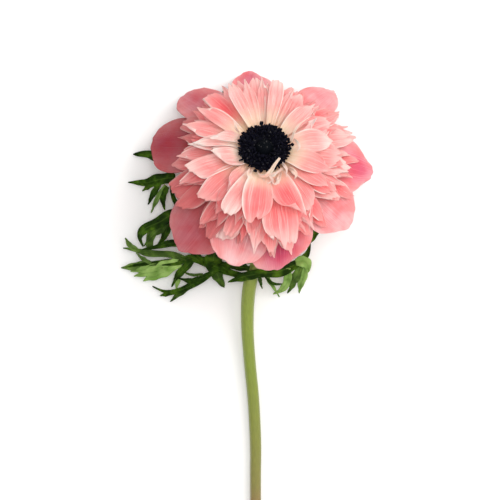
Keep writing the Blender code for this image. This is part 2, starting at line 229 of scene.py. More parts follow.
def petal_paint(name, stops, deep, light, lines, blotch, mottle, rim_power):
    """Petal skin: a colour along its length, a deep heart, light streaks, tip and rim, and fine veins.

    blotch is where the deep colour begins, is strongest and ends along the petal, and how far across
    it reaches. mottle is the least and the greatest share of its green and blue that a patch keeps,
    so that patches differ in how pink they are. A higher rim_power makes the light rim narrower. The
    attributes tint, pale and dusk say how much of the deep, the light and the dusky colour
    a petal has, and edge_pale_and_highlight how light its edges are. On inner petals the deep coral
    is partly painted shade, where petals lie under others; the dusky colour is partly painted shade,
    on the side of the head away from the light; the light rim is partly painted highlight.
    """
    paint = Paint(name, Roughness=0.5, Specular_IOR_Level=0.25, Sheen_Weight=0.04, Sheen_Roughness=0.5,
                  Subsurface_Weight=0.4, Subsurface_Radius=(1.0, 0.8, 0.75), Subsurface_Scale=0.0004)
    across, along, tint, pale, dusk, edge_pale_and_highlight = (
        paint.attribute(key) for key in ("across", "along", "tint", "pale", "dusk", "edge_pale_and_highlight"))
    streaks = petal_streaks(paint, lines)
    shifted = paint.maths("ADD", paint.maths("MULTIPLY_ADD", streaks, 0.12, along), -0.06)
    body = paint.ramp(shifted, stops)
    # On inner petals the deep coral is partly painted shade, saturated where petals lie under and between
    # others; on tepals it is their own magenta.
    start, peak, end, reach = blotch
    rise = paint.step(shifted, start, peak)
    fall = paint.step(shifted, end, peak)
    side = paint.step(paint.maths("ABSOLUTE", across), reach, 0.0)
    heart = paint.maths("MULTIPLY", paint.maths("MULTIPLY", rise, fall), side)
    patchy = paint.maths("MULTIPLY_ADD", streaks, 0.8, 0.6)
    deep_and_shade = paint.maths("MULTIPLY", paint.maths("MULTIPLY", heart, tint), patchy, clamp=True)
    body = paint.mix(deep_and_shade, body, deep)
    tip = paint.node("MapRange", {0: shifted, 1: paint.maths("MULTIPLY_ADD", pale, -0.6, 0.92), 2: 1.05},
                     interpolation_type="SMOOTHSTEP")
    # The light rim is partly painted highlight: raised edges are lightened as if they caught the light.
    rim = paint.maths("POWER", paint.maths("ABSOLUTE", across), rim_power)
    rim = paint.maths("MULTIPLY", paint.maths("MULTIPLY", rim, paint.step(along, 0.1, 0.4)), edge_pale_and_highlight)
    stripe_share = paint.maths("MULTIPLY_ADD", pale, 0.35, 0.12)
    stripe = paint.maths("MULTIPLY", paint.step(streaks, 0.48, 0.66), stripe_share)
    wash = paint.maths("MULTIPLY_ADD", pale, 0.3, stripe)
    lit = paint.maths("MAXIMUM", paint.maths("MULTIPLY", tip, pale), paint.maths("MAXIMUM", rim, wash))
    body = paint.mix(paint.maths("MULTIPLY", lit, patchy, clamp=True), body, light)
    fleck = paint.node("MapRange", {0: streaks, 1: 0.3, 2: 0.7, 3: 0.92, 4: 1.05})
    least, greatest = mottle
    patches = paint.node("MapRange", {0: paint.noise(160, 2.0), 1: 0.35, 2: 0.65, 3: least, 4: greatest})
    coolness = paint.maths("MULTIPLY", fleck, patches)
    shade = paint.node("CombineColor", {0: fleck, 1: coolness, 2: coolness})
    body = paint.mix(1.0, body, shade, "MULTIPLY")
    paint.connect(paint.mix(dusk, body, DUSK_AND_SHADE, "MULTIPLY"), "Base Color")
    rough = paint.node("MapRange", {0: streaks, 1: 0.3, 2: 0.7, 3: 0.42, 4: 0.62})
    paint.connect(rough, "Roughness")
    middle = paint.maths("SUBTRACT", 1.0, paint.maths("MULTIPLY", across, across))
    midrib = paint.maths("MULTIPLY", paint.maths("POWER", middle, 30.0), 0.5)
    paint.bump(paint.maths("SUBTRACT", streaks, midrib), 0.0004, 0.8)
    return paint.material


# Dusky pigment and painted shade both: petals are multiplied towards this colour on the side of the head
# away from the light and under others, and the left tepals for their own duskier rose.
DUSK_AND_SHADE = colour(186, 140, 144)
petal_pink = petal_paint(
    "petal_pink",
    # The brown from 0 to 0.12 along is painted shade on the claws, where they run under the anthers.
    ((0.0, colour(150, 96, 58)), (0.12, colour(230, 166, 112)), (0.24, colour(254, 214, 176)),
     (0.36, colour(253, 200, 174)), (0.56, colour(250, 156, 150)), (0.8, colour(249, 135, 136)),
     (1.0, colour(250, 158, 156))),
    colour(246, 70, 82), colour(255, 232, 224), 22.0, (0.34, 0.62, 1.08, 1.3), (0.88, 1.06), 7.0)
tepal_rose = petal_paint(
    "tepal_rose",
    ((0.0, colour(190, 190, 140)), (0.2, colour(236, 200, 184)), (0.5, colour(240, 150, 150)),
     (0.8, colour(236, 142, 146)), (1.0, colour(240, 158, 160))),
    colour(206, 46, 96), colour(253, 204, 202), 34.0, (0.45, 0.84, 1.14, 1.0), (0.76, 1.24), 2.6)


def heart_paint(name, shade, glow, scale):
    """Dark, powdery skin of the pistil head and the anthers, with specks of painted highlight."""
    paint = Paint(name, Roughness=0.6, Specular_IOR_Level=0.08)
    grain = paint.noise(scale, 4.0)
    body = paint.mix(paint.node("MapRange", {0: grain, 1: 0.4, 2: 0.75, 3: 0.0, 4: 1.0}), shade, glow)
    # Painted highlight: sparse light specks stand in for glints on the powdery surface.
    glints = paint.step(paint.noise(1100, 1.0), 0.66, 0.72)
    body = paint.mix(paint.maths("MULTIPLY", glints, 0.4), body, colour(120, 118, 116))
    paint.connect(body, "Base Color")
    paint.connect(paint.node("MapRange", {0: grain, 1: 0.3, 2: 0.7, 3: 0.5, 4: 0.85}), "Roughness")
    paint.bump(grain, 0.00025, 0.6)
    return paint.material


pistil_black = heart_paint("pistil_black", colour(2, 4, 9), colour(7, 13, 22), 2600)
anther_black = heart_paint("anther_black", colour(3, 3, 10), colour(26, 26, 44), 2200)


def leaf_paint():
    """Leaf skin: patchy dark green, a paler midrib, pale where a lobe shows its back, and on the right leaf
    partly painted light.
    """
    paint = Paint("leaf_green", Roughness=0.5, Specular_IOR_Level=0.06, Subsurface_Weight=0.1,
                  Subsurface_Radius=(0.5, 1.0, 0.3), Subsurface_Scale=0.0005)
    across, along, pale = (paint.attribute(key) for key in ("across", "along", "pale"))
    patches = paint.noise(260, 4.0)
    body = paint.ramp(patches, (
        (0.3, colour(11, 30, 1)), (0.5, colour(33, 60, 6)), (0.72, colour(76, 110, 24))))
    back = paint.ramp(patches, ((0.3, colour(112, 150, 66)), (0.7, colour(164, 196, 112))))
    body = paint.mix(pale, body, back)
    fan = paint.maths("MULTIPLY", across, paint.maths("MULTIPLY_ADD", along, 1.5, 3.0))
    wave = paint.maths("SINE", paint.maths("MULTIPLY", fan, 3.1))
    veins = paint.maths("POWER", paint.maths("ABSOLUTE", wave), 0.5)
    midrib = paint.maths("POWER", paint.maths("SUBTRACT", 1.0, paint.maths("ABSOLUTE", across)), 14.0)
    body = paint.mix(paint.maths("MULTIPLY", midrib, 0.4), body, colour(104, 140, 58))
    paint.connect(body, "Base Color")
    paint.connect(paint.node("MapRange", {0: patches, 1: 0.3, 2: 0.7, 3: 0.38, 4: 0.6}), "Roughness")
    grain = paint.noise(1900, 2.0)
    height = paint.maths("ADD", paint.maths("MULTIPLY", veins, 0.6), paint.maths("MULTIPLY", grain, 0.5))
    paint.bump(paint.maths("SUBTRACT", height, midrib), 0.00025, 0.6)
    return paint.material


def stem_paint():
    """Fleshy stem: olive and yellow-green along its length, with fine ridges and down."""
    paint = Paint("stem_green", Roughness=0.45, Specular_IOR_Level=0.4, Subsurface_Weight=0.15,
                  Subsurface_Radius=(0.7, 1.0, 0.2), Subsurface_Scale=0.0015, Sheen_Weight=0.3,
                  Sheen_Roughness=0.4)
    across, along = (paint.attribute(key) for key in ("across", "along"))
    body = paint.ramp(along, (
        (0.0, colour(142, 112, 74)), (0.06, colour(132, 126, 62)), (0.3, colour(126, 142, 48)),
        (0.5, colour(132, 148, 58)), (0.68, colour(124, 136, 54)), (0.8, colour(136, 156, 70)),
        (1.0, colour(190, 204, 132))))
    ring = paint.vector(paint.maths("COSINE", across), paint.maths("SINE", across),
                        paint.maths("MULTIPLY", along, 9.0))
    streaks = paint.noise(7.0, 5.0, ring, 0.6)
    fleck = paint.node("MapRange", {0: streaks, 1: 0.3, 2: 0.72, 3: 0.84, 4: 1.1})
    body = paint.mix(1.0, body, paint.node("CombineColor", {0: fleck, 1: fleck, 2: fleck}), "MULTIPLY")
    paint.connect(body, "Base Color")
    paint.connect(paint.node("MapRange", {0: streaks, 1: 0.3, 2: 0.7, 3: 0.36, 4: 0.56}), "Roughness")
    grain = paint.noise(2400, 2.0)
    paint.bump(paint.maths("ADD", streaks, paint.maths("MULTIPLY", grain, 0.35)), 0.0003, 0.6)
    return paint.material


leaf_green = leaf_paint()
stem_green = stem_paint()

# ------------------------------ petals

# Petals lie on nested bells round the head's axis. A bell is the height of its claws, its slope
# there, and its slope BELL_RUN further out. Petals of one whorl share a bell.
BELL_RUN = 40.0
CLAW_DISTANCE = 5.4
TEPAL_BELLS = {"back": (-3.6, 8, -32), "front": (-2.4, 11, -31)}
PETAL_BELLS = {"a": (-1.2, 14, -32), "b": (0.2, 18, -31), "c": (1.7, 23, -29), "d": (3.2, 28, -24)}


def bell_place(bell, run):
    """(distance from the axis, height, slope) on a bell, this far along it from the claw."""
    height, rise, fall = bell
    first = math.radians(rise)
    bend = math.radians(fall - rise) / BELL_RUN
    slope = first + bend * run
    distance = CLAW_DISTANCE + (np.sin(slope) - math.sin(first)) / bend
    return distance, height - (np.cos(slope) - math.cos(first)) / bend, slope


def run_to(bell, reach):
    """How far along its bell a petal runs for its tip to reach this far from the axis."""
    short, long = 0.0, 2 * BELL_RUN
    for _ in range(40):
        middle = (short + long) / 2
        if bell_place(bell, middle)[0] < reach and bell_place(bell, middle)[2] > -math.pi / 2:
            short = middle
        else:
            long = middle
    return short


def bell_between(layer):
    """The bell of a layer of petals: 0 is whorl a's, 3 is whorl d's, and below 0 lies under whorl a."""
    bells = list(PETAL_BELLS.values())
    k = min(max(int(layer), 0), 2)
    return tuple(low + (high - low) * (layer - k) for low, high in zip(bells[k], bells[k + 1]))


@dataclass
class Blade:
    """A petal's shape on its bell. Lengths in millimetres, angles in degrees, the rest are shares.

    A petal points along its bearing. Its sides are -1, clockwise of the midline, and +1.
    """
    bearing: float
    reach: float
    width: float
    claw: float = 0.3  # width at the claw
    belly: float = 0.62  # where it is widest
    tip: float = 0.4  # width left at the tip
    point: float = 0.14  # how far the apex stands out from the sides of the tip
    lean: float = 0.0  # which side the apex is on
    notch: float = 0.0  # depth of a nick in the tip
    ragged: float = 0.01  # unevenness of the tip
    cup: float = 0.3  # how far the edges stand up
    twist: float = 0.0
    sway: float = 0.0  # sideways bend of the tip
    arch: float = 0.0  # rise of the middle of the petal
    curl: float = 0.0  # rise of the tip
    roll: float = 0.0  # how far one edge stands up; its sign says which
    settle: float = 0.0  # how far the tip sinks onto the petals below
    pleat: float = 0.0  # depth of the soft folds along the petal
    ruffle: float = 0.15
    waves: float = 2.5
    tint: float = 0.3
    pale: float = 0.5
    dusk: float = 0.0


# Columns and rows of a blade's grid, and how thick it is.
PETAL_GRID, PETAL_THICKNESS = (16, 26), 0.16
TEPAL_GRID, TEPAL_THICKNESS = (30, 36), 0.22
FILLER_GRID = (12, 20)
CREST_LIT, CREST_PLAIN = 0.95, 0.4  # how light an edge is: the raised one, painted as catching the light, and any other, partly painted highlight too
WIDEST_TURN = 0.62  # radians that half a blade may wrap round the axis
SURFACE_EASE = 0.5  # how gently a blade levels out onto the surface


def blade_piece(name, bell, shape, paint, node=None, grid=PETAL_GRID, thickness=PETAL_THICKNESS):
    """One petal, as a grid bent onto its bell. What would pass the surface lies on it instead."""
    columns, rows = grid
    seed = luck.random()
    u, v = np.meshgrid(np.linspace(-1, 1, columns + 1), np.linspace(0, 1, rows + 1))
    share = 1 - (1 - v) ** 1.25  # the rows crowd towards the tip
    length = run_to(bell, shape.reach)
    # its outline, as shares of its width, and its end, as shares of its length
    rise = np.clip(share / shape.belly, 0, 1)
    fall = np.clip((share - shape.belly) / (1 - shape.belly), 0, 1)
    outline = shape.claw + (1 - shape.claw) * np.sin(rise * math.pi / 2) ** 2.0
    outline = outline * (1 - (1 - shape.tip) * fall ** 2.2)
    teeth = np.sin(u * 7 + seed * 40) + 0.6 * np.sin(u * 13 + seed * 90)
    teeth += 0.2 * np.sin(u * 23 + seed * 50)
    end = shape.point * (np.abs(u - shape.lean) / (1 + abs(shape.lean))) ** 1.6
    end += shape.notch * np.exp(-((u - 0.5 * (seed - 0.5)) / 0.16) ** 2) + shape.ragged * teeth
    # laid on the bell
    run = length * share * (1 - end * share ** 5)
    distance, height, slope = bell_place(bell, run)
    half = shape.width / 2
    aside = half * (u * outline + 0.8 * shape.lean * (1 - outline) * fall)
    turn = math.radians(shape.bearing) + math.radians(shape.sway) * share ** 2
    turn = turn + np.clip(aside / distance, -WIDEST_TURN, WIDEST_TURN)
    # how far each point stands off the bell
    swell = np.sin(math.pi * np.minimum(share, 0.94))
    edge = np.abs(u)
    off = (shape.cup * edge ** 2 + shape.arch) * swell
    off += shape.curl * share ** 6 - shape.settle * share ** 2
    off += shape.pleat * np.cos(u * (1.6 + 2 * seed) * math.pi + seed * 6) * np.minimum(1, 1.5 * share)
    off += abs(shape.roll) * np.clip(math.copysign(1, shape.roll) * u, 0, 1) ** 3 * swell
    off += half * u * math.sin(math.radians(shape.twist)) * share ** 1.5
    off += shape.ruffle * edge ** 3 * share * np.sin(share * shape.waves * math.tau + seed * 20 + u * 2)
    off += 0.05 * np.sin(u * 16 + seed * 30) * share
    distance = distance - off * np.sin(slope)
    height = height + off * np.cos(slope)
    points = np.stack([distance * np.cos(turn), distance * np.sin(turn), height], -1).reshape(-1, 3)
    points = points @ np.array(HEAD_TURN).T + np.array(HEAD_CENTRE)
    over = points[:, 2] - SURFACE_GAP
    points[:, 2] = SURFACE_GAP + (over + np.hypot(over, SURFACE_EASE)) / 2
    count = len(points)
    attributes = {"across": u.ravel(), "along": share.ravel(), "luck": np.full(count, seed),
                  "tint": np.full(count, shape.tint), "pale": np.full(count, shape.pale),
                  "dusk": np.full(count, shape.dusk),
                  "edge_pale_and_highlight": np.where(u * shape.roll > 0, CREST_LIT, CREST_PLAIN).ravel()}
    mesh_piece(name, points, grid_faces(columns, rows), paint, attributes, node, thickness)


def varied(low, high):
    return luck.uniform(low, high)


def tepal(bearing, reach, width, **more):
    """An outer tepal's shape, with bends of its own."""
    shape = {"claw": 0.24, "belly": 0.7, "tip": 0.62, "point": 0.12, "ragged": 0.006,
             "cup": varied(0.2, 0.9), "twist": varied(-3, 3), "ruffle": varied(0.2, 0.5),
             "waves": 2.2, "pleat": 0.12}
    return Blade(bearing, reach, width, **{**shape, **more})


# How a petal ends.
TIPS = {
    "pointed": {"belly": 0.62, "tip": 0.26, "point": 0.2},
    "blunt": {"belly": 0.7, "tip": 0.5, "point": 0.1},
    "cut": {"belly": 0.76, "tip": 0.7, "point": 0.03},
    "nicked": {"belly": 0.7, "tip": 0.56, "point": 0.09, "notch": 0.08},
    "toothed": {"belly": 0.74, "tip": 0.6, "point": 0.12, "ragged": 0.022},
}


def petal(bearing, reach, width, tip, lean=0.0, tint=0.3, pale=0.5, **more):
    """An inner petal's shape, with bends of its own."""
    shape = {"claw": 0.42, "cup": varied(-0.3, 0.5), "twist": varied(-8, 8), "sway": varied(-3, 3),
             "arch": varied(-0.2, 0.5), "curl": varied(-0.8, 0.8), "roll": varied(-0.9, 0.9),
             "pleat": varied(0.1, 0.28), "ruffle": varied(0.1, 0.35), **TIPS[tip]}
    return Blade(bearing, reach, width, lean=lean, tint=tint, pale=pale, **{**shape, **more})


# The tepals and the petals of each whorl stand in the order of their nodes.
# dusk in these tables is partly the petals' own duskier rose and partly painted shade, greatest on the left
# of the head.
TEPALS = {
    "back": (
        tepal(165.3, 48, 26.6, tip=0.74, lean=-0.35, point=0.11, tint=0.9, pale=0, dusk=1),
        tepal(-134, 48.2, 28, tip=0.75, tint=0.4, pale=0.1, dusk=0.8),
        tepal(-80.5, 45, 29, lean=-0.35, tint=1, pale=0.1, dusk=0.2),
        tepal(-37, 42.8, 25, belly=0.8, tip=0.78, point=0.12, tint=0.1, pale=0.4, dusk=0.05),
        tepal(97.5, 48.6, 17, tip=0.6, tint=0.7, pale=0.2, dusk=0.1)),
    "front": (
        tepal(133, 48, 18.8, tip=0.8, point=0.08, tint=0.5, pale=0.1, dusk=0.5),
        tepal(52, 46, 17, tip=0.5, lean=-0.1, point=0.1, tint=0.15, pale=0.3, dusk=0.1),
        tepal(-4, 43.8, 25.2, belly=0.74, tip=0.54, tint=0.9, pale=0.2),
        tepal(-106, 45.4, 25, tip=0.7, point=0.08, tint=0.1, pale=0.6, dusk=0.12)),
}
PETALS = {
    "a": (
        petal(-160, 39, 11, "cut", -0.4, 0.4, 0.2, dusk=0.8),
        petal(-127, 40.8, 10, "blunt", 0.2, 0.5, 0.15, dusk=0.7),
        petal(-113, 39, 9.5, "cut", -0.5, 0.4, 0.6, point=0.06),
        petal(-86, 42.5, 9, "pointed", 0.2, 1, 0.5, roll=-1.3),
        petal(-75, 41.5, 10, "toothed", 0, 1, 0.4),
        petal(-30, 35, 9, "blunt", 0, 0.15, 0.3),
        petal(2, 34.5, 9, "pointed", 0.2, 0.2, 0.5),
        petal(36, 37, 10, "blunt", 0, 0.1, 0.3),
        petal(72, 35.6, 9, "blunt", 0, 0.2, 0.4),
        petal(105, 38.5, 9, "pointed", 0.2, 0.2, 0.5),
        petal(150, 37, 10, "cut", 0, 0.3, 0.2, dusk=0.7),
        petal(-177, 37, 10, "blunt", 0, 0.4, 0.3, dusk=0.6)),
    "b": (
        petal(-158, 36, 9, "pointed", -0.5, 0.5, 0.4, dusk=0.3),
        petal(-124, 37, 8, "pointed", 0.3, 0.6, 0.2, dusk=0.4),
        petal(-94, 42.3, 9, "pointed", 0.2, 0.9, 0.6, roll=-1.4),
        petal(-62, 36.5, 10, "pointed", 0.1, 0.6, 0.4, roll=1.2),
        petal(-36, 34.5, 10, "toothed", 0, 0.3, 0.6, settle=1),
        petal(-12, 34.5, 10, "toothed", 0.2, 0.15, 0.7, settle=1),
        petal(13, 36, 10, "nicked", -0.2, 0.1, 0.6, settle=1),
        petal(44, 31, 7, "pointed", 0.2, 0.15, 0.5),
        petal(87, 32.6, 6, "pointed", 0.2, 0.2, 0.6),
        petal(117, 37, 7, "pointed", 0, 0.2, 0.6),
        petal(146, 35, 8, "pointed", 0.3, 0.5, 0.3, dusk=0.3),
        petal(-179, 34.5, 8, "pointed", -0.3, 0.5, 0.5, dusk=0.25)),
    "c": (
        petal(-159, 31.8, 10.5, "cut", -0.9, 0.6, 0.7, point=0.13, roll=1.2),
        petal(-138, 33.2, 10.5, "cut", -0.9, 0.4, 0.4, point=0.1, roll=-1.2, dusk=0.18),
        petal(-122, 34.2, 10.5, "pointed", -0.2, 0.4, 0.1, dusk=0.35),
        petal(-77.5, 41.5, 14, "toothed", 0.3, 1, 0.5, point=0.15, ragged=0.035, roll=-1.8),
        petal(-51, 31.5, 9, "cut", -0.4, 0.4, 0.4, point=0.08, roll=-1.4, settle=1),
        petal(-6, 31, 12, "nicked", 0, 0.1, 0.5, settle=2),
        petal(27, 30, 12, "toothed", 0.2, 0.15, 0.5, settle=2),
        petal(58, 29.5, 8, "blunt", 0, 0.05, 0.5, settle=1),
        petal(97, 33.5, 6.5, "nicked", 0, 0.3, 0.6),
        petal(131, 34, 8, "cut", 0.2, 0.9, 0.2),
        petal(160, 33.8, 7.5, "pointed", -0.3, 0.5, 0.6, roll=1.4)),
    "d": (
        petal(-152, 21, 10.5, "pointed", -0.4, 0, 0.9, sway=-16, roll=1.8),
        petal(-113.5, 33.5, 8, "cut", 0.1, 0.4, 0.75, claw=0.2, belly=0.86, roll=-1.2),
        petal(-97, 34.5, 12, "nicked", -0.4, 0.7, 0.3, roll=-1.8, pleat=0.35),
        petal(-72, 34.5, 10.5, "pointed", 0.6, 1, 0.3, sway=5, roll=1.6),
        petal(-22, 29, 10, "pointed", 0, 0.1, 0.4, settle=2.5),
        petal(8, 27, 10, "blunt", 0, 0.1, 0.7, settle=2.5, roll=1.2),
        petal(42, 28, 7, "pointed", 0, 0.1, 0.7, settle=1.5, roll=1.4),
        petal(77, 30, 6, "cut", 0, 0.05, 0.6),
        petal(117, 31.5, 6, "nicked", 0, 0.2, 0.7, roll=1.2),
        petal(147, 31.8, 6, "pointed", 0.4, 0.5, 0.6, roll=-1.4)),
}
# Petals between the whorls, where no node lies: (layer, shape)
BETWEEN = (
    (2.2, petal(175, 30, 6, "pointed", 0.2, 0.2, 0.9)),
    (0.9, petal(-178, 33.5, 7, "pointed", 0.2, 0.4, 0.4, dusk=0.3)),
    (0.4, petal(167, 33.5, 8, "blunt", 0, 0.3, 0.3, dusk=0.6)),
    (2.4, petal(170, 28, 5.5, "pointed", -0.4, 0, 1, sway=8, roll=1.4)),
    (2.6, petal(-178, 21, 4.5, "pointed", 0, 0, 1)),
    (1, petal(-101, 39.3, 8, "pointed", 0.3, 0.8, 0.5, roll=-1.3)),
    (1.2, petal(-57, 38.5, 8, "pointed", 0, 0.7, 0.4)),
    (0.7, petal(-86, 41.5, 8, "blunt", 0.3, 1, 0.3)),
    (0.5, petal(-66, 37, 8, "pointed", 0, 0.9, 0.4)),
    (0.3, petal(-147.5, 40.2, 9, "cut", -0.8, 0.4, 0.1, point=0.1, dusk=0.7)),
    (0.8, petal(-109, 38, 7, "cut", 0, 0.5, 0.4, dusk=0.2)),
    (0.7, petal(-24, 34.5, 8, "pointed", 0, 0.2, 0.4)),
    (0.6, petal(-15, 36, 8, "pointed", 0, 0.2, 0.4)),
    (1.5, petal(66, 30.5, 8, "blunt", 0, 0.4, 0.2)),
    (1.5, petal(150, 31.5, 4, "pointed", 0, 0.3, 0.6)),
    (1.5, petal(134, 34.5, 4, "pointed", 0.3, 0.3, 0.6)),
    (2.6, petal(14, 24.5, 3.5, "pointed", 0, 0, 0.9, sway=18)),
    (2.5, petal(104, 32.5, 5, "pointed", 0, 0.1, 0.8)),
    (2.3, petal(90, 32.5, 5, "pointed", 0, 0.2, 0.7)),
    (2.2, petal(69, 30, 5, "pointed", 0, 0.1, 0.6)),
    (2.5, petal(-36, 30, 7, "blunt", 0, 0.2, 0.3)),
    (1.4, petal(-112, 34, 7, "pointed", 0.2, 0.9, 0.4)),
    (2.7, petal(-128, 25, 6, "pointed", 0, 0.1, 0.5)),
    (2.8, petal(158, 22, 5, "pointed", 0.3, 0, 1, sway=12)),
    (0.3, petal(19, 38.6, 10, "nicked", 0, 0.15, 0.4)),
    (0.2, petal(24, 36.5, 9, "pointed", 0, 0.15, 0.4)),
)
# Rings of petals that show only in the gaps: (layer, count, mean reach, spread of it)
FILLERS = ((-0.5, 13, 36.5, 1.6), (0.5, 13, 34.5, 1.6), (1.4, 12, 30.5, 1.6))
RING_TURN = 11  # degrees that each ring is turned on from the last
REACH_LEAN = 3.5  # how much further than the mean the petals nearest the stem reach
SHADED_SIDE = -160  # the side of the head on which petals get painted shade, away from the light


def make_tepals():
    for whorl, shapes in TEPALS.items():
        for number, shape in enumerate(shapes, 1):
            node = f"outer_tepal_{whorl}_{number}"
            blade_piece(node + "_skin", TEPAL_BELLS[whorl], shape, tepal_rose, node,
                        TEPAL_GRID, TEPAL_THICKNESS)


def make_inner_petals():
    for whorl, shapes in PETALS.items():
        for number, shape in enumerate(shapes, 1):
            node = f"inner_petal_{whorl}_{number}"
            blade_piece(node + "_skin", PETAL_BELLS[whorl], shape, petal_pink, node)
    for number, (layer, shape) in enumerate(BETWEEN, 1):
        blade_piece(f"between_petal_{number}", bell_between(layer), shape, petal_pink)
    for ring, (layer, count, mean, spread) in enumerate(FILLERS):
        for i in range(count):
            bearing = 360 * (i + varied(-0.25, 0.25)) / count + RING_TURN * ring
            reach = mean - REACH_LEAN * math.sin(math.radians(bearing)) + varied(-spread, spread)
            # Painted shade: fillers on the shaded side of the head and in the lower rings get more of the
            # dusky colour; their strong deep coral is partly painted shade too.
            dusk = 0.5 * max(0.0, math.cos(math.radians(bearing - SHADED_SIDE))) * (1 - layer / 3)
            shape = petal(bearing, reach, varied(6, 8), luck.choice(("pointed", "blunt", "nicked")),
                          varied(-0.4, 0.4), varied(0.6, 1.0), varied(0.0, 0.25), dusk=dusk)
            blade_piece(f"filler_petal_{ring}_{i}", bell_between(layer), shape, petal_pink,
                        grid=FILLER_GRID)


# ------------------------------ pistil and stamens

PISTIL_CENTRE = Vector((0, -1.4, 6.4))
PISTIL_SIZE = (3.65, 4.7)  # radius and height of the dome
PIMPLES = 190
ANTHER_LEAN = 0.8  # how far the anthers lie towards the stem from the axis
STAMEN_FOOT = (5.3, 5.3)  # distance from the axis, and height
FILAMENT_RADIUS, FILAMENT_SIDES, FILAMENT_POINTS = 0.14, 6, 6
ANTHER_LENGTHS = (0.72, 0.98)
# Rings of stamens: (count, distance of the anthers, their height, spread of both)
STAMEN_RINGS = ((46, 9.7, 7.2, 0.4), (40, 9.0, 8.0, 0.4), (34, 8.1, 8.9, 0.35), (28, 6.9, 9.5, 0.35),
                (22, 5.6, 9.7, 0.35), (15, 4.7, 9.0, 0.2))
# Stamens that stand clear of the rings: (bearing, distance, height)
STRAYS = ((-108, 11.6, 8.6), (-97, 11.2, 8.8), (-84, 10.9, 8.9), (4, 10.9, 8.0), (96, 10.7, 7.4),
          (-148, 10.8, 7.6))
# The bed of filament feet, as (radius, height) round the axis.
STAMEN_BED = ((3.2, 6.1), (4.7, 6.3), (6.6, 7.0), (9.3, 6.9), (9.5, 6.4), (5.3, 5.0))
BED_SIDES = 64
BED_REACH = 9  # the distance at which it leans as far as the anthers


def add_ball(bm, matrix, segments, rings):
    bmesh.ops.create_uvsphere(bm, u_segments=segments, v_segments=rings, radius=1, matrix=matrix)


def make_pistil():
    """A low dome with a pimple for each of its many styles."""
    radius, height = PISTIL_SIZE
    bm = bmesh.new()
    dome = Matrix.Diagonal((radius, radius, height, 1))
    add_ball(bm, Matrix.Translation(PISTIL_CENTRE) @ dome, 40, 24)
    for vertex in bm.verts:
        vertex.co.z = max(vertex.co.z, PISTIL_CENTRE.z - 0.5)
    golden = math.pi * (3 - math.sqrt(5))
    for i in range(PIMPLES):
        up = 1 - 0.97 * (i + 0.5) / PIMPLES
        out = math.sqrt(1 - up * up)
        aim = Vector((out * math.cos(i * golden), out * math.sin(i * golden), up))
        spot = PISTIL_CENTRE + Vector((aim.x * radius, aim.y * radius, aim.z * height))
        size = varied(0.2, 0.27)
        turn = aim.to_track_quat("Z", "Y").to_matrix().to_4x4()
        pimple = Matrix.Diagonal((size, size, size * 1.5, 1))
        add_ball(bm, Matrix.Translation(spot) @ turn @ pimple, 8, 5)
    bmesh_piece("pistil_dome", bm, pistil_black, "pistil_head")


def add_stamen(bm, foot, top, anther):
    """A curved filament, and an anther of two lobes across its end."""
    sideways = (top - foot).cross(Vector((0, 0, 1)))
    middle = (foot + top) / 2 + Vector((0, 0, -0.35)) + sideways * varied(-0.06, 0.06)
    line = smooth_line((foot, middle, top), FILAMENT_POINTS)
    rings = []
    for i, place in enumerate(line):
        ahead = line[min(i + 1, FILAMENT_POINTS - 1)] - line[max(i - 1, 0)]
        turn = ahead.to_track_quat("Z", "Y")
        ring = []
        for k in range(FILAMENT_SIDES):
            angle = math.tau * k / FILAMENT_SIDES
            out = FILAMENT_RADIUS * Vector((math.cos(angle), math.sin(angle), 0))
            ring.append(bm.verts.new(place + turn @ out))
        rings.append(ring)
    for a, b in zip(rings, rings[1:]):
        for k in range(FILAMENT_SIDES):
            after = (k + 1) % FILAMENT_SIDES
            bm.faces.new((a[k], a[after], b[after], b[k]))
    aim = (line[-1] - line[-2]).normalized()
    aim += Vector((varied(-0.5, 0.5), varied(-0.5, 0.5), varied(-0.2, 0.6)))
    turn = aim.to_track_quat("Z", "Y").to_matrix().to_4x4()
    turn = turn @ Matrix.Rotation(varied(0, math.tau), 4, "Z")
    for side in (-1, 1):
        size = Matrix.Diagonal((anther * 0.52, anther * 0.42, anther, 1))
        aside = Matrix.Translation((side * anther * 0.38, 0, anther * 0.3))
        add_ball(bm, Matrix.Translation(top) @ turn @ aside @ size, 8, 6)


def add_bed(bm):
    """The dark bed under the anthers: a closed ring with a bumpy top."""
    rings = []
    for radius, height in STAMEN_BED:
        lean = ANTHER_LEAN * radius / BED_REACH
        ring = []
        for k in range(BED_SIDES):
            bearing = math.tau * k / BED_SIDES
            out = radius + varied(-0.25, 0.25)
            ring.append(bm.verts.new((out * math.cos(bearing), out * math.sin(bearing) - lean,
                                      height + varied(-0.12, 0.12))))
        rings.append(ring)
    for a, b in zip(rings, rings[1:] + rings[:1]):
        for k in range(BED_SIDES):
            bm.faces.new((a[k], b[k], b[(k + 1) % BED_SIDES], a[(k + 1) % BED_SIDES]))


def make_stamens():
    bm = bmesh.new()
    add_bed(bm)
    places = [(math.radians(bearing), distance, height) for bearing, distance, height in STRAYS]
    for count, distance, height, spread in STAMEN_RINGS:
        places += [(math.tau * (i + varied(-0.3, 0.3)) / count, distance + varied(-spread, spread),
                    height + varied(-spread, spread)) for i in range(count)]
    for bearing, distance, height in places:
        out = Vector((math.cos(bearing), math.sin(bearing), 0))
        foot = out * STAMEN_FOOT[0] + Vector((0, 0, STAMEN_FOOT[1]))
        add_stamen(bm, foot, out * distance + Vector((0, -ANTHER_LEAN, height)), varied(*ANTHER_LENGTHS))
    bmesh_piece("stamen_crown", bm, anther_black, "stamens")


# ------------------------------ curled strips

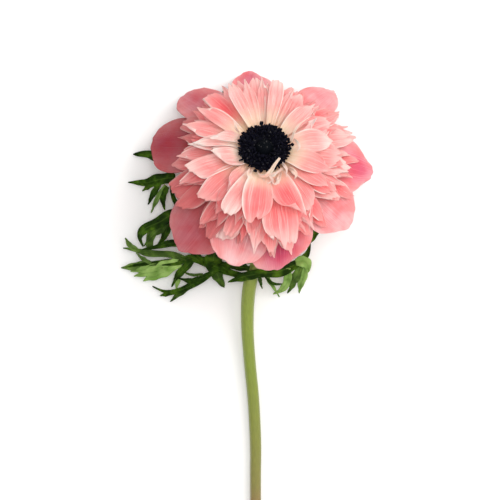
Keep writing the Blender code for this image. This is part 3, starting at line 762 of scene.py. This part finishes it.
# Half-formed petals curl over the edge of the heart. Each is (width, paleness, points).
STRIPS = (
    (1.6, 0.5, ((11.6, 35.6, 46.4), (9.7, 33, 46.8), (8, 30.4, 46.6), (5.8, 28.7, 46), (3.6, 29.2, 45.6),
                (2.8, 30.8, 44.6))),
    (2.1, 0.5, ((0.2, 25.2, 43.8), (0.7, 26.9, 45), (-0.8, 29.4, 46), (-0.2, 31.7, 46))),
    (1.2, 0.9, ((12.6, 31.8, 43.6), (10.9, 30.2, 45.6), (8, 28.6, 46.6), (8.8, 26.9, 46.6),
                (8, 24.3, 45.2))),
    (1.5, 0.8, ((12, 30, 44), (11.2, 27.6, 46), (10.2, 25.2, 46.2), (8, 24.1, 45.4))),
    (1.1, 1, ((5, 27.6, 44), (6, 26, 45.6), (7.2, 25.8, 46.4), (9.3, 27.6, 46.8))),
    (1.2, 0.9, ((12.6, 34, 42.6), (13.4, 32.6, 44.6), (14.2, 31, 45.6), (14, 28.2, 45.2))),
    (1.9, 0.6, ((15.2, 32, 42.4), (16.6, 30.8, 44.2), (17.8, 29, 45), (17.2, 27.4, 44.8))),
    (1, 1, ((17.4, 43.4, 38.4), (18.6, 42.2, 40.4), (19.4, 40.2, 41.2), (18.4, 38.4, 40.8))),
    (1.1, 0.8, ((16, 42.4, 38.4), (17, 45, 39.4), (18, 47.4, 39.4), (19.8, 49.6, 39), (24, 52.6, 37.6))),
    (0.9, 1, ((7.2, 29.4, 45), (8.6, 28.6, 47), (9.8, 29.2, 47.4), (10.6, 30.6, 46.6))),
    (1, 1, ((9.8, 27.8, 44.8), (10.8, 26.6, 47), (9.6, 25.4, 47.4), (8.6, 26.4, 46.8))),
    (0.9, 1, ((6.4, 25, 44.2), (6.6, 23.4, 46), (7.6, 22.6, 46.2), (8.6, 22.8, 45.8))),
    (1.3, 1, ((5.4, 28.2, 43.6), (6, 25.4, 45.4), (6.6, 22.6, 45.8), (7.2, 18.6, 45.2))),
    (1, 1, ((14, 27.4, 43.4), (15.8, 25, 45), (18, 22.2, 45.2), (20.6, 19.6, 44))),
    (1.1, 0.8, ((-4.4, 46.4, 36.4), (-5.4, 47.8, 38), (-5.8, 49.4, 38.2), (-6.6, 50.6, 37.6))),
)
# A strip wears the petals' colours from this share of their length on, over this much of it.
STRIP_START, STRIP_SPAN = 0.27, 0.12
# The strips are washed near cream-white and their edges lightened, partly as painted highlight.
STRIP_PALENESS = 1.8  # times the paleness in the table above
STRIP_CREST = 0.9
STRIP_GRID = (6, 24)
STRIP_BELLY = 0.36  # share of its length at which it is widest


def ribbon(width, points):
    """(points, across, along) of a ribbon along a smooth line, cupped and twisted, with rounded ends."""
    columns, rows = STRIP_GRID
    line = smooth_line(points, rows + 1)
    phase = luck.uniform(0, math.tau)
    places, across, along = [], [], []
    for r, place in enumerate(line):
        share = r / rows
        ahead = (line[min(r + 1, rows)] - line[max(r - 1, 0)]).normalized()
        side = ahead.cross(Vector((0, 0, 1))).normalized()
        lean = Quaternion(ahead, 0.7 * math.sin(4 * share + phase))
        side.rotate(lean)
        up = side.cross(ahead)
        half = width / 2 * (0.35 + 0.65 * math.sin(math.pi * min(1, share + 0.5 - STRIP_BELLY)))
        half *= (1 - share ** 6) ** 0.5
        for c in range(columns + 1):
            u = 2 * c / columns - 1
            places.append(place + side * (u * half) + up * (0.35 * half * u * u))
            across.append(u)
            along.append(share)
    return places, across, along


def make_strips():
    for number, (width, pale, points) in enumerate(STRIPS, 1):
        places, across, along = ribbon(width, points)
        count = len(places)
        attributes = {"across": across, "along": [STRIP_START + STRIP_SPAN * share for share in along],
                      "luck": [number / 10] * count, "tint": [0.0] * count,
                      "pale": [STRIP_PALENESS * pale] * count, "dusk": [0.0] * count,
                      "edge_pale_and_highlight": [STRIP_CREST] * count}
        mesh_piece(f"curled_strip_{number}", places, grid_faces(*STRIP_GRID), petal_pink,
                   attributes, thickness=PETAL_THICKNESS)


# ------------------------------ leaves

LEAF_THICKNESS = 0.42
# The lobes of the three leaves, root first: (width, paleness, points, and bluntness if it ends bluntly)
LEAVES = {
    "leaf_left": (
        (3.6, 0, ((-2, -10.9, 8.8), (-8, -9.3, 8.7), (-13, -7.4, 8.4), (-18, -5, 7.8), (-24, -3.4, 6.8),
                  (-30, -4.8, 5.7), (-38, -5.4, 4.2), (-46.5, -6.2, 2.6), (-53, -7.4, 0.8))),
        (4.2, 0.35, ((-38, -6.2, 3.6), (-44, -6.8, 2.6), (-49, -7, 1.8), (-53.4, -7.4, 0.9))),
        (6.2, 1, ((-28.6, -4.6, 5.8), (-35, -7.6, 4.6), (-40, -10.4, 3), (-44.2, -12.8, 1.6))),
        (4.2, 0.9, ((-34, -7, 4.8), (-41, -9, 3.4), (-48, -10.9, 1.8))),
        (3.4, 0.8, ((-36, -6.6, 4.6), (-43, -8, 3.2), (-49.4, -8.8, 1.8))),
        (2.8, 0.15, ((-26, -3.6, 6.4), (-33, -1.8, 5.9), (-41.5, -1.4, 4.8), (-47.4, 0, 4),
                     (-52.4, 0.8, 3.2))),
        (2.2, 0.3, ((-46, -0.6, 4.2), (-49.6, 2, 3.8), (-51.6, 5, 3.2))),
        (1.6, 0.4, ((-40.8, -5.5, 3.8), (-44.2, -3.6, 4), (-47, -1.2, 4))),
        (3, 0, ((-18.6, -4.9, 7.7), (-25, 0.6, 8), (-31.4, 2.8, 7.8), (-39, 1.2, 6.8), (-44.4, 0.2, 5.4))),
        (3.2, 0, ((-23, -3.6, 6.9), (-26.8, -7.4, 6), (-30, -10.8, 4.6), (-32.4, -15.2, 2.8))),
        (2.8, 0, ((-12.4, -7.8, 8.4), (-16.6, -10, 7.6), (-21, -12.6, 6.2), (-26.4, -15.6, 4.6),
                  (-31.6, -17.4, 3.2), (-36.2, -17, 2.2), (-40.4, -15, 1.6))),
        (1.9, 0, ((-31.4, -17.2, 3.2), (-34.8, -18.3, 2.2), (-37.2, -18.9, 1.4))),
        (2.5, 0.1, ((-24, -14.4, 5.1), (-29, -17.8, 3), (-33, -21.4, 0.8))),
        (2.6, 0, ((-18.6, -11.2, 6.9), (-23.8, -12.8, 5.8), (-29.6, -11.6, 4.4))),
        (6.8, 0, ((-14.4, -0.4, 9), (-15.2, -5.6, 8.5), (-15.4, -11.4, 7.6))),
        (4.2, 0.1, ((-14.4, -6.6, 8.3), (-13.4, -10.4, 7.2), (-10.6, -15.4, 5)), 8),
        (3, 0, ((-0.2, -7.6, 13), (-5, -6.8, 12.6), (-10, -6, 11.6), (-15, -6.6, 10.2))),
        (2.6, 0.8, ((-29.6, -9, 4.8), (-30, -12.5, 3.8), (-30.4, -16.2, 2.8))),
        (3.6, 0, ((-9, -8.6, 9.6), (-13, -6, 9), (-18, -6.6, 8.4))),
        (1, 0.2, ((-19.4, -10, 7.4), (-24, -10.2, 6.2), (-28, -8.8, 5.4))),
    ),
    "leaf_back": (
        (2.8, 0, ((-1.2, -7.6, 8.7), (-6, -2, 7.8), (-16, 8, 8), (-26, 14.4, 8.4), (-31, 20.6, 8.4),
                  (-32.4, 28, 7.6), (-32.4, 33, 6.6))),
        (4, 0, ((-32, 31, 7.2), (-36, 37, 5.4), (-41.6, 39.5, 3.2), (-48.4, 39.7, 1.4)), 8),
        (4.6, 0, ((-25, 14, 8.4), (-31, 14.9, 8.8), (-37, 11.5, 8.8), (-43.2, 8.7, 7.8), (-45.3, 5.2, 6.6),
                  (-44, 1.4, 5.4))),
        (3.2, 0.1, ((-31.4, 15.2, 8.8), (-36, 9.4, 7.6), (-40.2, 6.2, 7), (-43.6, 1.6, 6.6))),
        (3.2, 0, ((-29, 15, 7), (-33, 11, 7.2), (-35.6, 5, 6.4), (-38.4, 1.4, 5.4))),
        (3.4, 0.2, ((-37, 11, 7.6), (-40.6, 6, 6.6), (-41.4, 1.6, 5.6), (-40.6, -1.4, 4.8))),
        (4.8, 0, ((-30.6, 29.8, 7.9), (-36, 29.2, 7.4), (-42.6, 27.8, 5.6), (-50.4, 28, 2.8))),
        (1.9, 0, ((-39, 27.8, 6.6), (-42.2, 25.8, 5.6), (-44.4, 24.4, 4.8))),
        (2.4, 0, ((-36.8, 28, 7.2), (-40, 22.8, 6), (-42, 18.8, 4.6))),
        (2, 0.5, ((-34.6, 26.6, 7.8), (-38.2, 21, 6.6), (-40.8, 15.4, 4.6))),
        (2.4, 0, ((-34, 26, 8), (-35.8, 21, 7.2), (-35, 16.4, 6.4))),
        (2.8, 0, ((-6, -1.8, 7.8), (-8.4, 12, 4.6), (-9.2, 30, 2.4), (-9.6, 48, 1.2), (-11.2, 66, 0.6))),
        (2, 0, ((-8.8, 26, 2.8), (-14, 36, 2), (-19, 44, 1.2))),
    ),
    # On the right leaf, paleness is partly painted light: its lobes are lightened as if more brightly lit.
    "leaf_right": (
        (4.4, 0, ((-0.4, -10, 12.2), (5.7, -9.4, 12.8), (11, -8.9, 12.2), (16.2, -7, 11.4),
                  (20.8, -4.4, 10.8), (23.8, -0.6, 10.6), (24.8, 6, 10.6))),
        (3.8, 0, ((4.6, -9.6, 12.7), (-0.6, -10.4, 12.6), (-4.8, -11.6, 12), (-9, -13.2, 10.6))),
        (3.4, 0.6, ((6, -4.2, 13.4), (3, -3.9, 13.8), (-0.6, -4.3, 13.8), (-4.6, -6, 12.8))),
        (1.4, 0.1, ((4, -10.4, 13), (4.2, -12.8, 11.4), (5, -15.8, 9.6))),
        (1.5, 0.7, ((7.4, -10, 12), (7.8, -12.5, 8.8), (9.8, -15.5, 5.4), (12.1, -19.4, 2.4))),
        (1.3, 0, ((6.4, -10.8, 11), (9, -13.6, 8.4), (14, -14.2, 5.6))),
        (3.2, 0.9, ((15.6, -7.4, 11.6), (15.5, -11, 9.6), (14.6, -14.4, 6.6), (12.4, -16.8, 4),
                    (9.6, -18.2, 2.6))),
        (3.8, 0.2, ((20.6, -6.4, 10.9), (18.6, -11.2, 8.2), (15.8, -13.7, 5.2), (12.4, -16.4, 2.6))),
        (2.2, 0.1, ((19, -9.6, 8.4), (17.6, -14.4, 5.4), (15.5, -17.8, 3))),
        (3.2, 0.8, ((22.8, -6, 10.9), (21.8, -11, 8.4), (20.8, -14.4, 5.4), (20.4, -17.8, 2.4))),
        (4.4, 0.9, ((18.6, -5, 11.4), (21.6, -4.6, 11.6), (23.4, -6.2, 11.2), (23.7, -9.2, 9.8)), 6),
        (2.6, 0, ((24.4, 3.4, 10.6), (27.2, 7.6, 7.8), (29.6, 12.2, 4.4))),
    ),
}


def leaf_lobe(width, pale, points, bluntness=3.2):
    """(points, faces, attributes) of one lobe: a ribbon with a pointed end, folded along its midrib."""
    columns, rows = 8, 7 * (len(points) - 1)
    line = smooth_line(points, rows + 1)
    seed = luck.random()
    places, across, along = [], [], []
    for r, place in enumerate(line):
        share = r / rows
        ahead = (line[min(r + 1, rows)] - line[max(r - 1, 0)]).normalized()
        side = ahead.cross(Vector((0, 0, 1))).normalized()
        up = side.cross(ahead)
        taper = (1 - share ** bluntness) ** 0.8
        half = width / 2 * (0.62 + 0.42 * math.sin(math.pi * min(1, share * 1.15))) * taper + 0.04
        half *= 1 + 0.1 * math.sin(share * 17 + seed * 30)
        for c in range(columns + 1):
            u = 2 * c / columns - 1
            rise = 0.16 * half * abs(u) + 0.12 * math.sin(u * 3 + share * 9 + seed * 9)
            rise -= 0.1 * math.exp(-(u / 0.15) ** 2)
            places.append(place + side * (u * half) + up * rise)
            across.append(u)
            along.append(share)
    marks = {"across": across, "along": along, "pale": [pale] * len(places)}
    return places, grid_faces(columns, rows), marks


def make_leaves():
    for name, lobes in LEAVES.items():
        points, faces = [], []
        attributes = {"across": [], "along": [], "pale": []}
        for lobe in lobes:
            places, quads, marks = leaf_lobe(*lobe)
            faces += [tuple(i + len(points) for i in quad) for quad in quads]
            points += places
            for key, values in marks.items():
                attributes[key] += values
        mesh_piece(name + "_blades", points, faces, leaf_green, attributes, name, LEAF_THICKNESS)


# ------------------------------ stem

STEM_LINE = (
    (2.3, -108, 2.3), (2.3, -94, 2.3), (2.3, -80, 2.4), (1.4, -62, 3), (0, -47, 4),
    (-1, -33, 5.6), (-0.9, -21, 7.4), (0.4, -12, 8.8), (3.4, -3, 9.8), (5, 9, 10.6),
    (5.6, 20, 12.4), (5.6, 28.5, 16.6), (5.6, 33.2, 22.2), (5.6, 35.2, 26.4),
)
STEM_RADII = (2.25, 2.25, 2.35, 2.4, 2.4, 2.55, 2.75, 2.8, 2.3, 2.2, 2.25, 2.4, 2.6, 2.7)
STEM_SIDES, STEM_ROWS = 32, 190
# The receptacle, from its upper edge down, as (radius, height) in the head's frame.
RECEPTACLE = (RECEPTACLE_RIM, (4.5, 5.2), (4.9, 3.0), (5.0, -4.0), (4.4, -5.2), (2.2, -7.0))


def make_stem():
    """The stem as one tube with soft ridges, closed at its cut end, that runs into the receptacle."""
    line = smooth_line(STEM_LINE, STEM_ROWS + 1)
    radii = [p.x for p in smooth_line([(r, 0, 0) for r in STEM_RADII], STEM_ROWS + 1)]
    points, across, along = [], [], []
    for i, place in enumerate(line):
        ahead = (line[min(i + 1, STEM_ROWS)] - line[max(i - 1, 0)]).normalized()
        side = ahead.cross(Vector((0, 0, 1))).normalized()
        up = side.cross(ahead)
        share = i / STEM_ROWS
        for k in range(STEM_SIDES):
            angle = math.tau * k / STEM_SIDES
            ridge = 0.018 * math.sin(6 * angle + 5 * share) + 0.01 * math.sin(11 * angle - 23 * share)
            radius = radii[i] * (0.98 + ridge)
            points.append(place + (side * math.cos(angle) + up * math.sin(angle)) * radius)
            across.append(angle)
            along.append(share)
    faces = [(r * STEM_SIDES + k, r * STEM_SIDES + (k + 1) % STEM_SIDES,
              (r + 1) * STEM_SIDES + (k + 1) % STEM_SIDES, (r + 1) * STEM_SIDES + k)
             for r in range(STEM_ROWS) for k in range(STEM_SIDES)]
    faces.append(tuple(reversed(range(STEM_SIDES))))
    base = len(points)
    for radius, height in RECEPTACLE:
        for k in range(STEM_SIDES):
            angle = math.tau * k / STEM_SIDES
            corner = Vector((radius * math.cos(angle), radius * math.sin(angle), height))
            points.append(HEAD_PLACE @ corner)
            across.append(angle)
            along.append(1.0)
    for r in range(len(RECEPTACLE) - 1):
        for k in range(STEM_SIDES):
            a = base + r * STEM_SIDES
            b = a + STEM_SIDES
            faces.append((a + (k + 1) % STEM_SIDES, a + k, b + k, b + (k + 1) % STEM_SIDES))
    faces.append(tuple(base + k for k in range(STEM_SIDES)))
    last = base + (len(RECEPTACLE) - 1) * STEM_SIDES
    faces.append(tuple(last + k for k in reversed(range(STEM_SIDES))))
    mesh_piece("stem_skin", points, faces, stem_green, {"across": across, "along": along}, "stem")


# ------------------------------ studio

VIEW_CENTRE = Vector((0.0, 0.0, 25.0))  # in the flower's frame, under the middle of the picture
VIEW_HEIGHT = 650.0
VIEW_WIDTH = 200.0  # what the picture spans at that height
FLOOR_SIZE = 6  # metres
WORLD_STRENGTH = 0.7
LIGHTS_AIM = (0, 0.03, 0.02)  # metres, in the row frame
CLIP = (0.05, 20)  # metres


def area_light(name, place, size, power, shade):
    """A soft rectangular light. Its place and size are in metres."""
    data = bpy.data.lights.new(name, "AREA")
    data.shape = "RECTANGLE"
    data.size, data.size_y = size
    data.energy = power
    data.color = shade
    obj = bpy.data.objects.new(name, data)
    bpy.context.scene.collection.objects.link(obj)
    obj.location = place
    obj.rotation_euler = (Vector(LIGHTS_AIM) - Vector(place)).to_track_quat("-Z", "Y").to_euler()


def make_camera():
    camera = bpy.data.cameras.new("camera")
    camera.sensor_width = 36
    camera.lens = camera.sensor_width * VIEW_HEIGHT / VIEW_WIDTH
    camera.clip_start, camera.clip_end = CLIP
    view = bpy.data.objects.new("camera", camera)
    bpy.context.scene.collection.objects.link(view)
    view.location = TO_ROW @ (VIEW_CENTRE + Vector((0, 0, VIEW_HEIGHT)))
    bpy.context.scene.camera = view


def make_studio():
    bpy.ops.mesh.primitive_plane_add(size=FLOOR_SIZE, location=(0, 0, 0))
    floor = bpy.context.object
    floor.name = "floor"
    white = Paint("studio_white", Roughness=0.9, Specular_IOR_Level=0.1)
    white.shader.inputs["Base Color"].default_value = (0.97, 0.97, 0.97, 1)
    floor.data.materials.append(white.material)
    world = bpy.data.worlds.new("studio")
    world.use_nodes = True
    world.node_tree.nodes["Background"].inputs["Color"].default_value = (1.0, 0.99, 0.98, 1)
    world.node_tree.nodes["Background"].inputs["Strength"].default_value = WORLD_STRENGTH
    bpy.context.scene.world = world
    area_light("key", (0.6, 0.35, 0.7), (0.7, 0.7), 4.6, (1.0, 0.985, 0.96))
    area_light("overhead", (0.05, 0.05, 1.0), (0.35, 0.35), 3.0, (1.0, 0.99, 0.98))
    make_camera()
    bpy.context.scene.view_settings.view_transform = "Standard"


make_tepals()
make_inner_petals()
make_pistil()
make_stamens()
make_strips()
make_leaves()
make_stem()
make_studio()
